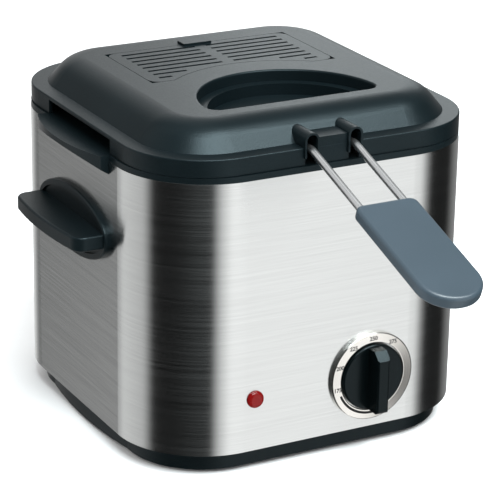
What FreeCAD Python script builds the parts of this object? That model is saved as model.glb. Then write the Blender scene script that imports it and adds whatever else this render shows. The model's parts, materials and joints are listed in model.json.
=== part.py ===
import FreeCAD, Part
import os
import re
from math import asin, cos, pi, radians, sin, sqrt, tan
import Sketcher
from FreeCAD import Rotation, Vector

# Compact household deep fryer.
# Frame: +Z up, front with the dial towards -Y, millimetres. The origin is on the floor, under the
# middle of the overall box, grip and cord gland included.

SIZES = {
    # housing
    "body_width": 220.0,
    "body_depth": 222.0,
    "body_corner": 55.0,
    "tray_bottom": 2.0,
    "shell_bottom": 14.0,
    "shell_top": 180.8,
    "shell_wall": 0.8,
    "press_gap": 0.1,
    "seat_gap": 0.3,
    "touch_gap": 0.02,
    "hole_room": 0.2,
    "past": 2.0,
    # base tray and feet
    "tray_inset": 7.5,
    "tray_wall": 2.5,
    "tray_upstand": 12.0,
    "tray_step": 1.0,
    "tray_vent_half": 26.0,
    "boss_wall": 1.0,
    "screw_room": 0.4,
    "screw_sink": 3.0,
    "screw_short": 1.0,
    "pilot_depth": 10.0,
    "post_pilot": 14.0,
    "skid_bow": 5.0,
    "skid_sink": 0.5,
    "skid_drop": 1.5,
    "skid_half": 56.0,
    "foot_radius": 9.0,
    "foot_room": 0.2,
    "foot_sink": 1.0,
    "foot_in": 40.0,
    "post_in": 26.0,
    "post_radius": 4.5,
    # collar
    "collar_rise": 3.5,
    "collar_skirt": 13.0,
    "collar_lip": 2.2,
    "collar_web": 1.0,
    "ledge_reach": 13.0,
    "ledge_half": 45.0,
    "ledge_arc": 132.0,
    "ledge_plate": 3.0,
    "ledge_drop": 11.3,
    # pot
    "pot_inset": 23.0,
    "pot_wall": 1.6,
    "pot_bottom": 62.0,
    "pot_flange": 7.0,
    "pot_flange_thick": 1.5,
    "pot_rim_drop": 1.3,
    "pot_bend": 14.0,
    "pot_edge": 0.5,
    # heating and control
    "element_radius": 54.0,
    "element_tube": 3.3,
    "pin_radius": 1.6,
    "pin_length": 16.0,
    "shield_height": 40.0,
    "shield_half": 74.0,
    "shield_depth": 8.0,
    "shield_wall": 0.8,
    "shield_post": 58.0,
    "shield_corner": 24.0,
    "pin_room": 2.0,
    "cutout_radius": 9.0,
    "cutout_high": 6.0,
    "bulb_radius": 2.4,
    "bulb_length": 60.0,
    "bulb_along": 30.0,
    "block_along": 46.0,
    "block_half": 15.0,
    "block_deep": 14.0,
    "block_high": 12.0,
    "block_pitch": 9.0,
    "block_bore": 2.0,
    "block_bore_depth": 9.0,
    "knob_across": 29.5,
    "knob_height": 47.3,
    "knob_radius": 20.6,
    "knob_skirt": 4.0,
    "knob_gap": 0.6,
    "knob_round": 1.2,
    "knob_sink": 1.0,
    "knob_grip": 11.4,
    "grip_width": 8.0,
    "grip_edge": 1.2,
    "grip_slope": 5.0,
    "grip_chamfer": 1.5,
    "grip_round": 1.4,
    "ring_radius": 27.5,
    "ring_bore": 21.3,
    "ring_thick": 2.8,
    "ring_round": 0.7,
    "shaft_radius": 3.0,
    "shaft_reach": 10.5,
    "bushing_reach": 3.0,
    "pin_place": 12.0,
    "run_gap": 0.05,
    "bushing_radius": 5.0,
    "regulator_half": 14.0,
    "regulator_rise": 12.0,
    "regulator_corner": 3.0,
    "regulator_deep": 15.0,
    "shaft_seat": 9.0,
    "nut_radius": 7.5,
    "nut_thick": 2.2,
    "nut_room": 0.6,
    "lamp_across": 48.0,
    "lamp_height": 46.6,
    "lamp_bore": 4.4,
    "lamp_rim": 5.3,
    "lamp_dome": 2.6,
    "lamp_lip": 0.2,
    "lamp_stem": 5.0,
    "lamp_wall": 2.0,
    "lamp_length": 16.0,
    "gland_across": 40.0,
    "gland_height": 36.0,
    "gland_bore": 3.4,
    "gland_neck": 6.4,
    "gland_flange": 8.4,
    "gland_nose": 5.8,
    "gland_lip": 3.0,
    "gland_tail": 4.0,
    "gland_inside": 4.0,
    # side handles
    "handle_drop": 48.8,
    "flange_half": 48.0,
    "flange_rise": 20.5,
    "flange_thick": 4.0,
    "flange_round": 1.2,
    "dish_border": 4.0,
    "dish_depth": 1.6,
    "shelf_rise": 4.5,
    "shelf_thick": 9.0,
    "shelf_half": 45.0,
    "shelf_reach": 20.5,
    "shelf_arc": 270.0,
    "shelf_corner": 8.0,
    "shelf_round": 1.5,
    "rim_start": 3.0,
    "handle_pilot": 12.0,
    "handle_screw_place": 32.0,
    "screw_radius": 1.9,
    "screw_head": 3.6,
    "head_thick": 2.2,
    # lid
    "lid_inset": 1.6,
    "lid_corner": 50.0,
    "lid_wall": 2.4,
    "lid_round": 0.9,
    "roof_wall": 3.4,
    "hollow_foot": 0.2,
    "hollow_shoulder": 8.2,
    "hollow_bend": 10.5,
    "hollow_roof": 20.8,
    "skirt_rise": 10.4,
    "dome_rise": 15.2,
    "dome_inset": 9.8,
    "dome_corner": 41.3,
    "dome_slope": 40.0,
    "dome_round": 21.0,
    "cutout_half": 43.0,
    "cutout_rise": 8.7,
    "slot_place": 14.2,
    "slot_width": 6.9,
    "crown_rise": 7.6,
    "tunnel_wall": 1.2,
    "tunnel_front": 1.8,
    "tunnel_length": 22.0,
    "tunnel_foot": 6.0,
    "bridge_short": 5.0,
    "bridge_drop": 2.4,
    "recess_lead": 5.0,
    "recess_radius": 56.0,
    "recess_in": 43.0,
    "recess_step": 6.0,
    "recess_shelf": 7.0,
    "recess_depth": 14.0,
    "recess_wall": 2.0,
    "recess_round": 8.0,
    "rim_round": 1.2,
    # filter and its cover
    "cover_half": 62.0,
    "cover_in": 48.5,
    "cover_reach": 59.5,
    "cover_land": 20.0,
    "cover_thick": 2.6,
    "cover_corner": 7.0,
    "cover_gap": 0.4,
    "groove_pitch": 7.4,
    "groove_width": 2.4,
    "groove_land": 4.0,
    "groove_inner": 3.8,
    "groove_outer": 54.0,
    "groove_first": 6.5,
    "groove_rows": 8.0,
    "tab_half": 9.5,
    "tab_reach": 6.0,
    "tab_raise": 1.4,
    "filter_thick": 5.0,
    "filter_margin": 5.0,
    "filter_floor": 2.0,
    "mat_gap": 0.2,
    "vent_rows": 4.0,
    "vent_first": 15.5,
    "vent_pitch": 9.0,
    "vent_width": 4.0,
    "vent_inner": 8.0,
    "vent_outer": 44.0,
    "baffle_gap": 4.0,
    "baffle_thick": 0.8,
    "baffle_set": 3.5,
    "baffle_in": 2.0,
    "baffle_corner": 6.0,
    "baffle_post": 3.6,
    "baffle_post_in": 13.0,
    "baffle_post_front": 7.0,
    "baffle_post_rear": 9.0,
    "baffle_pilot": 4.0,
    # basket
    "basket_gap": 12.0,
    "basket_corner": 30.0,
    "basket_wall": 1.4,
    "basket_bend": 10.0,
    "basket_lift": 2.4,
    "rim_drop": 22.3,
    "rim_wire": 2.0,
    "arm_wire": 2.3,
    "bracket_edge": 5.0,
    "bracket_rise": 4.0,
    "bracket_high": 22.0,
    "arm_drop": 9.0,
    "arm_slope": 18.0,
    "arm_hang": 44.0,
    "arm_round": 9.0,
    "arm_reach": 55.0,
    "grip_length": 89.0,
    "grip_half": 19.6,
    "grip_thick": 8.0,
    "grip_flat": 0.4,
    "grip_corner": 5.0,
    "grip_edge_round": 2.4,
    "grip_insert": 30.0,
    # how far the housing's middle stands behind the origin; set once the pieces are made
    "centre_shift": 0.0,
}

# Places that follow from the sizes
PLACES = {
    "tray_shoulder": "(shell_bottom + tray_step)",
    "seam_height": "(shell_top + collar_rise)",
    "lid_edge": "(seam_height + seat_gap + skirt_rise)",
    "lid_top": "(lid_edge + dome_rise)",
    "handle_height": "(shell_top - handle_drop)",
    "shelf_top": "(handle_height + shelf_rise)",
    "foot_across": "(body_width / 2 - foot_in)",
    "foot_along": "(body_depth / 2 - foot_in)",
    "post_across": "(body_width / 2 - post_in)",
    "post_along": "(body_depth / 2 - post_in)",
    "recess_front": "(body_depth / 2 - recess_in)",
    "recess_centre": "(recess_front - recess_lead)",
    "cover_front": "(recess_centre - cover_reach)",
    "cover_rear": "(body_depth / 2 - cover_in)",
    "baffle_front": "(baffle_set - cover_front)",
    "groove_rear": "(cover_rear - groove_first)",
    "slot_crown": "(lid_edge + crown_rise)",
    "pin_along": "sqrt(element_radius ^ 2 - pin_place ^ 2)",
    "basket_bottom": "(pot_bottom + pot_wall + basket_lift)",
    "basket_rim": "(seam_height - rim_drop)",
    "arm_level": "(slot_crown - arm_drop)",
    "arm_foot": "(basket_rim - arm_hang)",
    "arm_bend": "(body_depth / 2)",
    "grip_start": "(arm_bend + arm_reach)",
}

doc = FreeCAD.newDocument("DeepFryer")
sheet = doc.addObject("Spreadsheet::Sheet", "Sizes")
for row, (alias, number) in enumerate(SIZES.items(), start=1):
    sheet.set(f"A{row}", alias)
    sheet.set(f"B{row}", str(number))
    sheet.setAlias(f"B{row}", alias)
doc.recompute()


def named(text):
    """Write out every place in an expression and point every size in it at the sheet."""
    def swap(word):
        if word[0] in PLACES:
            return named(PLACES[word[0]])
        return f"Sizes.{word[0]}" if word[0] in SIZES else word[0]
    return re.sub("[a-z_]+", swap, text)


def value(text):
    """Number that an expression over the sheet gives."""
    return float(sheet.evalExpression(named(text)))


def bind(thing, prop, text):
    """Tie a property to an expression over the sheet."""
    thing.setExpression(prop, named(text))


# Ways to draw and shape a body --------------------------------------------------------------------

def new_body(name):
    body = doc.addObject("PartDesign::Body", name)
    bind(body, "Placement.Base.y", "centre_shift")
    return body


def new_sketch(body, plane="XY_Plane", at="0", across="0", along="0"):
    """Sketch on one of the body's origin planes, moved off it by expressions."""
    sketch = body.newObject("Sketcher::SketchObject", "Sketch")
    origin = [item for item in body.Origin.OriginFeatures if item.Role == plane]
    sketch.AttachmentSupport = [(origin[0], "")]
    sketch.MapMode = "FlatFace"
    bind(sketch, "AttachmentOffset.Base.x", across)
    bind(sketch, "AttachmentOffset.Base.y", along)
    bind(sketch, "AttachmentOffset.Base.z", at)
    return sketch


def fix(sketch, kind, places, text):
    """Add a dimension that follows an expression over the sheet."""
    index = sketch.addConstraint(Sketcher.Constraint(kind, *places, value(text)))
    label = f"size{index}"
    sketch.renameConstraint(index, label)
    bind(sketch, f"Constraints.{label}", text)


def draw_circle(sketch, radius, x="0", y="0"):
    centre = Vector(value(x), value(y), 0)
    index = sketch.addGeometry(Part.Circle(centre, Vector(0, 0, 1), value(radius)))
    fix(sketch, "Radius", (index,), radius)
    fix(sketch, "DistanceX", (-1, 1, index, 3), x)
    fix(sketch, "DistanceY", (-1, 1, index, 3), y)


def draw_rounded(sketch, half_width, half_depth, corner):
    """Rounded rectangle centred on the sketch's own origin."""
    radius = value(corner)
    reach_x = value(half_width) - radius
    reach_y = value(half_depth) - radius
    first = sketch.GeometryCount
    signs = ((1, -1), (1, 1), (-1, 1), (-1, -1))
    for turn, (sx, sy) in enumerate(signs):
        circle = Part.Circle(Vector(sx * reach_x, sy * reach_y, 0), Vector(0, 0, 1), radius)
        start = (turn - 1) * pi / 2
        sketch.addGeometry(Part.ArcOfCircle(circle, start, start + pi / 2))
    for turn in range(4):
        here = sketch.Geometry[first + turn].EndPoint
        there = sketch.Geometry[first + (turn + 1) % 4].StartPoint
        sketch.addGeometry(Part.LineSegment(here, there))
        sketch.addConstraint(Sketcher.Constraint("Tangent", first + turn, 2, first + 4 + turn, 1))
        sketch.addConstraint(
            Sketcher.Constraint("Tangent", first + 4 + turn, 2, first + (turn + 1) % 4, 1))
    for turn in range(1, 4):
        sketch.addConstraint(Sketcher.Constraint("Equal", first, first + turn))
    sketch.addConstraint(Sketcher.Constraint("Vertical", first, 3, first + 1, 3))
    sketch.addConstraint(Sketcher.Constraint("Horizontal", first + 1, 3, first + 2, 3))
    sketch.addConstraint(Sketcher.Constraint("Vertical", first + 2, 3, first + 3, 3))
    sketch.addConstraint(Sketcher.Constraint("Horizontal", first + 3, 3, first, 3))
    fix(sketch, "Radius", (first,), corner)
    fix(sketch, "DistanceX", (-1, 1, first + 1, 3), f"{half_width} - ( {corner} )")
    fix(sketch, "DistanceY", (-1, 1, first + 1, 3), f"{half_depth} - ( {corner} )")
    fix(sketch, "DistanceX", (-1, 1, first + 3, 3), f"( {corner} ) - ( {half_width} )")
    fix(sketch, "DistanceY", (-1, 1, first + 3, 3), f"( {corner} ) - ( {half_depth} )")


def draw_outline(sketch, corners):
    """Closed outline of (x, y) corners; a third entry bends the side that leaves that corner.

    A bend is a radius: the side bulges to its right when it is drawn, or to its left with "-" first.
    """
    spots = [Vector(value(corner[0]), value(corner[1]), 0) for corner in corners]
    ends = []
    for place, corner in enumerate(corners):
        here = spots[place]
        there = spots[(place + 1) % len(corners)]
        if len(corner) == 2:
            index = sketch.addGeometry(Part.LineSegment(here, there))
            ends.append((index, 1, 2))
            continue
        left = corner[2].startswith("-")
        radius = value(corner[2].lstrip("-"))
        chord = there - here
        side = Vector(chord.y, -chord.x, 0).normalize() * (-1 if left else 1)
        rise = sqrt(max(0.0, radius * radius - chord.Length * chord.Length / 4))
        centre = (here + there) * 0.5 - side * rise
        middle = centre + side * radius
        arc = Part.Arc(there, middle, here) if left else Part.Arc(here, middle, there)
        index = sketch.addGeometry(arc)
        ends.append((index, 2, 1) if left else (index, 1, 2))
        fix(sketch, "Radius", (index,), corner[2].lstrip("-"))
    for place, corner in enumerate(corners):
        index, start, end = ends[place]
        follower, follower_start, follower_end = ends[(place + 1) % len(corners)]
        sketch.addConstraint(Sketcher.Constraint("Coincident", index, end, follower, follower_start))
        fix(sketch, "DistanceX", (-1, 1, index, start), corner[0])
        fix(sketch, "DistanceY", (-1, 1, index, start), corner[1])


def draw_box(sketch, low_x, low_y, high_x, high_y):
    draw_outline(sketch, [(low_x, low_y), (high_x, low_y), (high_x, high_y), (low_x, high_y)])


def pad(body, sketch, length, reverse=False, both_ways=False, taper=None):
    feature = body.newObject("PartDesign::Pad", "Pad")
    feature.Profile = sketch
    feature.Reversed = reverse
    if both_ways:
        feature.SideType = "Symmetric"
    if taper:
        bind(feature, "TaperAngle", taper)
    bind(feature, "Length", length)
    doc.recompute()
    return feature


def pocket(body, sketch, length, reverse=False, both_ways=False):
    """Cut a sketch into the body; it has to take material away."""
    before = body.Shape.Volume
    feature = body.newObject("PartDesign::Pocket", "Pocket")
    feature.Profile = sketch
    feature.Reversed = reverse
    if both_ways:
        feature.SideType = "Symmetric"
    bind(feature, "Length", length)
    doc.recompute()
    if body.Shape.Volume > before - 1e-3:
        raise RuntimeError(f"{body.Label}: a pocket cuts nothing")
    return feature


def loft(body, sketches, cut=False):
    kind = "PartDesign::SubtractiveLoft" if cut else "PartDesign::AdditiveLoft"
    feature = body.newObject(kind, "Loft")
    feature.Profile = sketches[0]
    feature.Sections = sketches[1:]
    feature.Ruled = True
    doc.recompute()
    return feature


def edges_where(body, test):
    """Names of the body's edges whose whole length passes the test."""
    names = []
    for number, edge in enumerate(body.Shape.Edges, start=1):
        if test(edge):
            names.append(f"Edge{number}")
    return names


def lies_at(height, slack=1e-4):
    """Test for edges that lie flat at a height."""
    def test(edge):
        box = edge.BoundBox
        return abs(box.ZMin - height) < slack and abs(box.ZMax - height) < slack
    return test


def stands_up(edge):
    """Test for straight edges along Z."""
    box = edge.BoundBox
    return box.XLength < 1e-4 and box.YLength < 1e-4


def round_off(body, test, radius, kind="PartDesign::Fillet"):
    """Fillet or chamfer the edges that pass the test."""
    names = edges_where(body, test)
    if not names:
        raise RuntimeError(f"{body.Label}: no edge to round off")
    tip = body.Tip
    feature = body.newObject(kind, "Round")
    feature.Base = (tip, names)
    bind(feature, "Radius" if kind.endswith("Fillet") else "Size", radius)
    doc.recompute()
    if feature.Shape.isNull() or not feature.Shape.isValid():
        raise RuntimeError(f"{body.Label}: rounding failed")
    return feature


# Outlines that several pieces share ---------------------------------------------------------------

def housing_outline(sketch, inset):
    """The housing's rounded square, drawn in by an inset all round."""
    draw_rounded(sketch, f"body_width / 2 - ( {inset} )", f"body_depth / 2 - ( {inset} )",
                 f"body_corner - ( {inset} )")


def four_places(across, along=None):
    along = along or across
    return [(sx + across, sy + along) for sx, sy in (("", ""), ("-", ""), ("-", "-"), ("", "-"))]


def draw_recess(sketch, inset="0"):
    """Half-moon of the finger recess: straight at the front, round towards the rear."""
    radius = value(f"recess_radius - ( {inset} )")
    front = f"-recess_front + ( {inset} )"
    drop = f"recess_front - recess_centre - ( {inset} )"
    reach = f"sqrt(( recess_radius - ( {inset} ) ) ^ 2 - ( {drop} ) ^ 2 )"
    first = sketch.GeometryCount
    low = value(front)
    half = value(reach)
    centre = Vector(0, -value("recess_centre"), 0)
    angle = asin((centre.y - low) / radius)
    circle = Part.Circle(centre, Vector(0, 0, 1), radius)
    sketch.addGeometry(Part.ArcOfCircle(circle, -angle, pi + angle))
    sketch.addGeometry(Part.LineSegment(Vector(-half, low, 0), Vector(half, low, 0)))
    sketch.addConstraint(Sketcher.Constraint("Coincident", first, 2, first + 1, 1))
    sketch.addConstraint(Sketcher.Constraint("Coincident", first + 1, 2, first, 1))
    sketch.addConstraint(Sketcher.Constraint("Horizontal", first + 1))
    fix(sketch, "Radius", (first,), f"recess_radius - ( {inset} )")
    fix(sketch, "DistanceX", (-1, 1, first, 3), "0")
    fix(sketch, "DistanceY", (-1, 1, first, 3), "-recess_centre")
    fix(sketch, "DistanceY", (-1, 1, first + 1, 1), front)


def draw_cover(sketch, inset="0"):
    """Outline of the filter cover: its front edge curves round the finger recess."""
    half = f"cover_half - ( {inset} )"
    rear = f"cover_rear - ( {inset} )"
    front = f"-cover_front + ( {inset} )"
    arc = f"recess_radius + cover_land + ( {inset} )"
    nose = f"sqrt(( {arc} ) ^ 2 - ( recess_centre - cover_front + ( {inset} ) ) ^ 2 )"
    draw_outline(sketch, [(f"-1 * ( {half} )", front), (f"-1 * {nose}", front, f"-{arc}"),
                          (nose, front), (half, front), (half, rear), (f"-1 * ( {half} )", rear)])


# Housing ------------------------------------------------------------------------------------------

def make_base_tray():
    """Black tray under the shell: ring wall, floor with vents, posts for the shield and the collar."""
    body = new_body("base_tray")
    sketch = new_sketch(body, at="tray_bottom")
    housing_outline(sketch, "tray_inset")
    pad(body, sketch, "tray_shoulder - tray_bottom")
    sketch = new_sketch(body, at="tray_bottom")
    side = "body_width / 2 - tray_inset - skid_sink"
    bow = "(skid_half ^ 2 + skid_bow ^ 2) / (2 * skid_bow)"
    draw_outline(sketch, [(f"-1 * ({side})", "skid_half", bow), (f"-1 * ({side})", "-skid_half"),
                          (side, "-skid_half", bow), (side, "skid_half")])
    pad(body, sketch, "shell_bottom - tray_bottom - skid_drop")
    sketch = new_sketch(body, at="tray_shoulder")
    housing_outline(sketch, "shell_wall + press_gap")
    pad(body, sketch, "tray_upstand")
    sketch = new_sketch(body, at="tray_shoulder + tray_upstand")
    housing_outline(sketch, "shell_wall + press_gap + tray_wall")
    pocket(body, sketch, "tray_upstand - tray_wall")
    sketch = new_sketch(body, at="tray_shoulder + tray_wall")
    housing_outline(sketch, "tray_inset + tray_wall")
    pocket(body, sketch, "tray_shoulder - tray_bottom")
    sketch = new_sketch(body, at="tray_bottom")
    for x, y in four_places("shield_post"):
        draw_circle(sketch, "post_radius", x, y)
    pad(body, sketch, "shield_height - tray_bottom")
    sketch = new_sketch(body, at="tray_bottom")
    for x, y in four_places("post_across", "post_along"):
        draw_circle(sketch, "post_radius + boss_wall", x, y)
    pad(body, sketch, "tray_shoulder + tray_upstand - tray_bottom")
    sketch = new_sketch(body, at="tray_shoulder + tray_upstand")
    for x, y in four_places("post_across", "post_along"):
        draw_circle(sketch, "screw_radius + press_gap", x, y)
    pocket(body, sketch, "tray_shoulder + tray_upstand")
    sketch = new_sketch(body, at="0")
    for x, y in four_places("post_across", "post_along"):
        draw_circle(sketch, "screw_head + screw_room", x, y)
    pocket(body, sketch, "tray_bottom + screw_sink", reverse=True)
    sketch = new_sketch(body, at="0")
    for x, y in four_places("foot_across", "foot_along"):
        draw_circle(sketch, "foot_radius + foot_room", x, y)
    pocket(body, sketch, "tray_bottom + foot_sink", reverse=True)
    sketch = new_sketch(body, at="shield_height")
    for x, y in four_places("shield_post"):
        draw_circle(sketch, "screw_radius + run_gap", x, y)
    pocket(body, sketch, "pilot_depth")
    sketch = new_sketch(body, at="0")
    for row in range(-3, 4):
        middle = f"{row} * vent_pitch"
        draw_box(sketch, "-tray_vent_half", f"{middle} - vent_width / 2",
                 "tray_vent_half", f"{middle} + vent_width / 2")
    pocket(body, sketch, "tray_bottom + tray_wall + past", reverse=True)
    return body


def make_outer_shell():
    """Brushed-steel wrap with holes for the knob shaft, lamp, handle screws and cord gland."""
    body = new_body("outer_shell")
    sketch = new_sketch(body, at="shell_bottom")
    housing_outline(sketch, "0")
    housing_outline(sketch, "shell_wall")
    pad(body, sketch, "shell_top - shell_bottom")
    sketch = new_sketch(body, "XZ_Plane", at="body_depth / 2 + past")
    draw_circle(sketch, "bushing_radius + hole_room", "knob_across", "knob_height")
    draw_circle(sketch, "lamp_bore + hole_room", "-lamp_across", "lamp_height")
    pocket(body, sketch, "shell_wall + 2 * past")
    sketch = new_sketch(body, "XZ_Plane", at="-1 * body_depth / 2 - past")
    draw_circle(sketch, "gland_neck + press_gap", "gland_across", "gland_height")
    pocket(body, sketch, "shell_wall + 2 * past", reverse=True)
    sketch = new_sketch(body, "YZ_Plane", at="0")
    for y in ("handle_screw_place", "-handle_screw_place"):
        draw_circle(sketch, "screw_radius + hole_room", y, "handle_height")
    pocket(body, sketch, "body_width + 2 * past", both_ways=True)
    return body


def make_rim_collar():
    """Black ring on top of the shell: holds the pot and carries a ledge on each side."""
    body = new_body("rim_collar")
    opening = "pot_inset - seat_gap"
    sketch = new_sketch(body, at="shell_top")
    housing_outline(sketch, "seat_gap")
    pad(body, sketch, "seam_height - shell_top")
    sketch = new_sketch(body, at="shell_top")
    housing_outline(sketch, "shell_wall + press_gap")
    pad(body, sketch, "collar_skirt", reverse=True)
    sketch = new_sketch(body, "XZ_Plane", at="0")
    inner = "body_width / 2 + press_gap"
    outer = "body_width / 2 + ledge_reach"
    foot = "seam_height - ledge_drop"
    rim = "seam_height - ledge_plate"
    root = "body_width / 2 - shell_wall"
    for sign in ("", "-1 * "):
        bottom = "shell_top + run_gap"
        draw_outline(sketch, [(f"{sign}({root})", bottom), (f"{sign}({inner})", bottom),
                              (f"{sign}({inner})", foot), (f"{sign}({outer})", rim),
                              (f"{sign}({outer})", "seam_height"), (f"{sign}({root})", "seam_height")])
    pad(body, sketch, "2 * ledge_half", both_ways=True)
    sketch = new_sketch(body, at="seam_height + past")
    tip = "body_width / 2 + ledge_reach"
    side = "(ledge_half + past)"
    end = f"({tip} - ledge_arc + sqrt(ledge_arc ^ 2 - {side} ^ 2))"
    for turn in (1, -1):
        low = f"{-turn} * {side}"
        high = f"{turn} * {side}"
        out = f"{turn} * ({tip} + past)"
        draw_outline(sketch, [(f"{turn} * {end}", low, "ledge_arc"), (f"{turn} * {end}", high),
                              (out, high), (out, low)])
    pocket(body, sketch, "ledge_drop + 2 * past")
    sketch = new_sketch(body, at="seam_height")
    housing_outline(sketch, opening)
    pocket(body, sketch, "seam_height - shell_top + collar_skirt")
    sketch = new_sketch(body, at="seam_height")
    housing_outline(sketch, "pot_inset - pot_flange - seat_gap")
    pocket(body, sketch, "pot_rim_drop + pot_flange_thick")
    sketch = new_sketch(body, at="shell_top - collar_skirt")
    housing_outline(sketch, "shell_wall + press_gap + collar_lip")
    housing_outline(sketch, f"{opening} - collar_lip")
    pocket(body, sketch, "collar_skirt - collar_web", reverse=True)
    sketch = new_sketch(body, at="shell_top")
    for x, y in four_places("post_across", "post_along"):
        draw_circle(sketch, "post_radius", x, y)
    pad(body, sketch, "shell_top - tray_shoulder - tray_upstand", reverse=True)
    sketch = new_sketch(body, at="tray_shoulder + tray_upstand")
    for x, y in four_places("post_across", "post_along"):
        draw_circle(sketch, "screw_radius + run_gap", x, y)
    pocket(body, sketch, "post_pilot", reverse=True)
    return body


def make_pot():
    """Deep drawn non-stick pot that hangs by its flange from the collar."""
    body = new_body("pot")
    top = "seam_height - pot_rim_drop"
    sketch = new_sketch(body, at="pot_bottom")
    housing_outline(sketch, "pot_inset")
    pad(body, sketch, f"{top} - pot_bottom")
    sketch = new_sketch(body, at=top)
    housing_outline(sketch, "pot_inset - pot_flange")
    pad(body, sketch, "pot_flange_thick", reverse=True)
    sketch = new_sketch(body, at=top)
    housing_outline(sketch, "pot_inset + pot_wall")
    pocket(body, sketch, f"{top} - pot_bottom - pot_wall")
    round_off(body, lies_at(value("pot_bottom + pot_wall")), "pot_bend - pot_wall")
    round_off(body, lies_at(value("pot_bottom")), "pot_bend")
    round_off(body, lies_at(value(top)), "pot_edge")
    return body


def make_heat_shield():
    """Sheet-metal pan between the element and the tray."""
    body = new_body("heat_shield")
    sketch = new_sketch(body, at="shield_height")
    draw_rounded(sketch, "shield_half", "shield_half", "shield_corner")
    pad(body, sketch, "shield_depth")
    sketch = new_sketch(body, at="shield_height + shield_depth")
    inner = "shield_half - shield_wall"
    draw_rounded(sketch, inner, inner, "shield_corner - shield_wall")
    pocket(body, sketch, "shield_depth - shield_wall")
    sketch = new_sketch(body, at="shield_height + shield_wall")
    for x, y in four_places("shield_post"):
        draw_circle(sketch, "screw_radius + hole_room", x, y)
    for x in ("pin_place", "-pin_place"):
        draw_circle(sketch, "pin_radius + pin_room", x, "pin_along")
    pocket(body, sketch, "shield_wall")
    return body


def make_terminal_block():
    """Block on the tray's floor where the cord's three wires end."""
    body = new_body("terminal_block")
    across = "gland_across - block_half"
    sketch = new_sketch(body, at="tray_bottom + tray_wall", across=across, along="block_along")
    draw_box(sketch, "-block_half", "-block_deep / 2", "block_half", "block_deep / 2")
    pad(body, sketch, "block_high")
    rear = "-1 * block_along - block_deep / 2 - past"
    sketch = new_sketch(body, "XZ_Plane", at=rear, across=across)
    for x in ("-block_pitch", "0", "block_pitch"):
        draw_circle(sketch, "block_bore", x, "tray_bottom + tray_wall + block_high / 2")
    pocket(body, sketch, "block_bore_depth + past", reverse=True)
    return body


def make_thermostat_body():
    """Regulator behind the front wall; its bushing passes through the shell."""
    body = new_body("thermostat_body")
    face = "body_depth / 2 - shell_wall - press_gap"
    sketch = new_sketch(body, "XZ_Plane", at=face, across="knob_across", along="knob_height")
    draw_rounded(sketch, "regulator_half", "regulator_rise", "regulator_corner")
    pad(body, sketch, "regulator_deep", reverse=True)
    sketch = new_sketch(body, "XZ_Plane", at=face, across="knob_across", along="knob_height")
    draw_circle(sketch, "bushing_radius")
    pad(body, sketch, "shell_wall + press_gap + bushing_reach")
    sketch = new_sketch(body, "XZ_Plane", at=f"{face} + shell_wall + press_gap + bushing_reach",
                        across="knob_across", along="knob_height")
    draw_circle(sketch, "shaft_radius + run_gap")
    pocket(body, sketch, "shaft_seat + bushing_reach + past")
    return body


def make_thermostat_shaft():
    """Turned shaft with a flat for the knob."""
    body = new_body("thermostat_shaft")
    start = "body_depth / 2 - shaft_seat"
    sketch = new_sketch(body, "XZ_Plane", at=start, across="knob_across", along="knob_height")
    draw_circle(sketch, "shaft_radius")
    pad(body, sketch, "shaft_seat + shaft_reach")
    return body


def make_thermostat_nut():
    """Hexagon nut that clamps the regulator to the shell."""
    body = new_body("thermostat_nut")
    sketch = new_sketch(body, "XZ_Plane", at="body_depth / 2", across="knob_across", along="knob_height")
    corners = [(f"nut_radius * cos({60 * turn})", f"nut_radius * sin({60 * turn})") for turn in range(6)]
    draw_outline(sketch, corners)
    draw_circle(sketch, "bushing_radius + run_gap")
    pad(body, sketch, "nut_thick")
    return body


def make_dial_ring():
    """Chromed ring round the knob that carries the temperature scale."""
    body = new_body("dial_ring")
    sketch = new_sketch(body, "XZ_Plane", at="body_depth / 2", across="knob_across", along="knob_height")
    draw_circle(sketch, "ring_radius")
    draw_circle(sketch, "ring_bore")
    pad(body, sketch, "ring_thick")
    front = -value("body_depth / 2 + ring_thick")

    def on_front(edge):
        return abs(edge.BoundBox.YMin - front) < 1e-4 and edge.BoundBox.YLength < 1e-4
    round_off(body, on_front, "ring_round")
    return body


def make_knob():
    """Round black knob with a raised finger bar across its face."""
    body = new_body("knob")
    back = "body_depth / 2 + knob_gap"
    sketch = new_sketch(body, "XZ_Plane", at=back, across="knob_across", along="knob_height")
    draw_circle(sketch, "knob_radius")
    pad(body, sketch, "knob_skirt")
    front = -value(f"{back} + knob_skirt")

    def on_face(edge):
        return abs(edge.BoundBox.YMin - front) < 1e-4 and edge.BoundBox.YLength < 1e-4
    round_off(body, on_face, "knob_round")
    sketch = new_sketch(body, "YZ_Plane", at="knob_across", along="knob_height")
    reach = f"-1 * ( {back} + knob_skirt - knob_sink )"
    tip = f"-1 * ( {back} + knob_skirt + knob_grip )"
    low = "grip_edge - knob_radius"
    high = "knob_radius - grip_edge"
    draw_outline(sketch, [(reach, low), (reach, high), (f"{tip} + grip_slope", high),
                          (tip, f"{high} - grip_slope"), (tip, f"{low} + grip_chamfer"),
                          (f"{tip} + grip_chamfer", low)])
    pad(body, sketch, "grip_width", both_ways=True)
    tall = -value(f"{back} + knob_skirt + knob_grip")

    def on_bar(edge):
        box = edge.BoundBox
        return abs(box.YMin - tall) < 1e-4 and box.YLength < 1e-4 and box.ZLength > value("grip_width")
    round_off(body, on_bar, "grip_round")
    sketch = new_sketch(body, "XZ_Plane", at="body_depth / 2", across="knob_across", along="knob_height")
    draw_circle(sketch, "nut_radius + nut_room")
    pocket(body, sketch, "bushing_reach + nut_room", reverse=True)
    sketch = new_sketch(body, "XZ_Plane", at="body_depth / 2", across="knob_across", along="knob_height")
    draw_circle(sketch, "shaft_radius + run_gap")
    pocket(body, sketch, "shaft_reach + seat_gap", reverse=True)
    return body


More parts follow.
